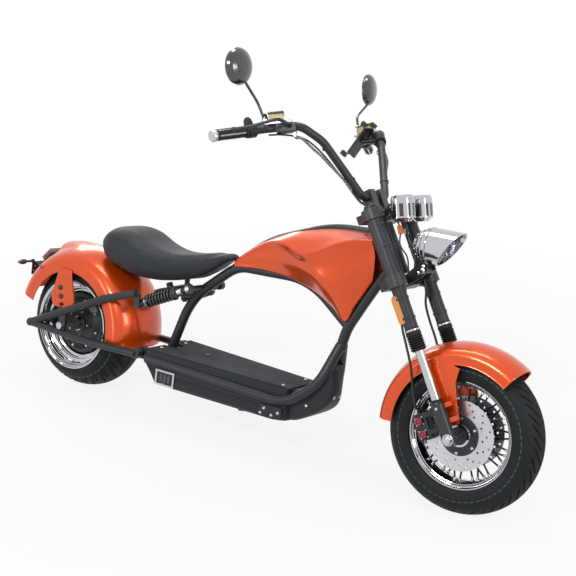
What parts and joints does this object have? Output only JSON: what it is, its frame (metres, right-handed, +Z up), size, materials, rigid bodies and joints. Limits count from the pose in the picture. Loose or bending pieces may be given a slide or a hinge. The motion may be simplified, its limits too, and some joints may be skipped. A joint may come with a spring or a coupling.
{
  "type": "electric chopper scooter",
  "caption": "Low electric chopper scooter with wide tyres, arched body, flat deck and a saddle, parked leaning on its side stand.",
  "frame": {"origin": "on the floor, under the middle of the parked scooter's bounding box", "axes": "+X towards the front wheel, +Y to the rider's left, +Z up from the floor"},
  "size_m": [2.1151, 0.9663, 1.3524],
  "materials": {
    "orange_paint": "metallic gloss",
    "frame_black": "satin",
    "black_metal": "satin",
    "deck_plastic": "fine grain",
    "mat_rubber": "matt",
    "battery_case": "matt",
    "seat_leather": "satin",
    "chrome": "polished",
    "spring_black": "gloss",
    "steel": "machined",
    "disc_steel": "machined",
    "boot_rubber": "matt",
    "grip_rubber": "matt",
    "black_plastic": "fine grain",
    "reservoir_plastic": "clear",
    "mirror_shell": "gloss",
    "mirror_face": "polished",
    "gauge_glass": "gloss",
    "lens_clear": "clear",
    "lens_red": "gloss",
    "lens_amber": "gloss",
    "tyre": "matt"
  },
  "bodies": {
    "chassis": {"main_frame": "frame_black", "tank_body": "orange_paint", "deck_case": "deck_plastic", "deck_mat": "mat_rubber", "battery_block": "battery_case", "front_fairing": "deck_plastic", "rear_fender": "orange_paint", "swingarm": "frame_black", "rear_shocks": "black_metal", "shock_springs": "spring_black", "seat": "seat_leather", "seat_bracket": "frame_black", "tail_light": "lens_red", "rear_signals": "lens_amber", "plate_holder": "black_plastic", "rear_axle": "steel", "rear_caliper": "black_metal", "stand_bracket": "frame_black"},
    "fork": {"steering_stem": "black_metal", "fork_tubes": "frame_black", "fork_boots": "boot_rubber", "stanchions": "chrome", "fork_lowers": "black_metal", "risers": "black_metal", "handlebar": "frame_black", "grips": "grip_rubber", "switch_pods": "black_plastic", "brake_masters": "black_metal", "reservoirs": "reservoir_plastic", "mirrors": "mirror_shell", "mirror_glass": "mirror_face", "gauges": "chrome", "gauge_faces": "gauge_glass", "headlight": "chrome", "headlight_lens": "lens_clear", "headlight_bracket": "black_metal", "front_fender": "orange_paint", "front_calipers": "black_metal", "front_axle": "steel", "brake_hoses": "boot_rubber", "fork_reflectors": "lens_amber", "phone_holder": "black_plastic"},
    "front_wheel": {"front_tyre": "tyre", "front_rim": "chrome", "front_hub": "black_metal", "front_discs": "disc_steel"},
    "rear_wheel": {"rear_tyre": "tyre", "rear_rim": "chrome", "hub_motor": "black_metal", "rear_disc": "disc_steel"},
    "side_stand": {"side_stand": "frame_black"}
  },
  "joints": [
    {"name": "steering", "type": "hinge", "parent": "chassis", "child": "fork", "pos_m": [0.47284, -0.05908, 0.72667], "axis": [-0.5141, 0.1842, 0.8377], "range_deg": [-32, 28]},
    {"name": "front_wheel_spin", "type": "hinge", "parent": "fork", "child": "front_wheel", "pos_m": [0.81127, -0.16394, 0.24119], "axis": [-0.0449, 0.9696, -0.2407], "continuous": true},
    {"name": "rear_wheel_spin", "type": "hinge", "parent": "chassis", "child": "rear_wheel", "pos_m": [-0.7597, -0.16717, 0.23501], "axis": [0, 0.9767, -0.2147], "continuous": true},
    {"name": "side_stand_fold", "type": "hinge", "parent": "chassis", "child": "side_stand", "pos_m": [-0.15984, -0.09061, 0.0803], "axis": [0.0568, 0.8209, 0.5683], "range_deg": [0, 126]}
  ]
}
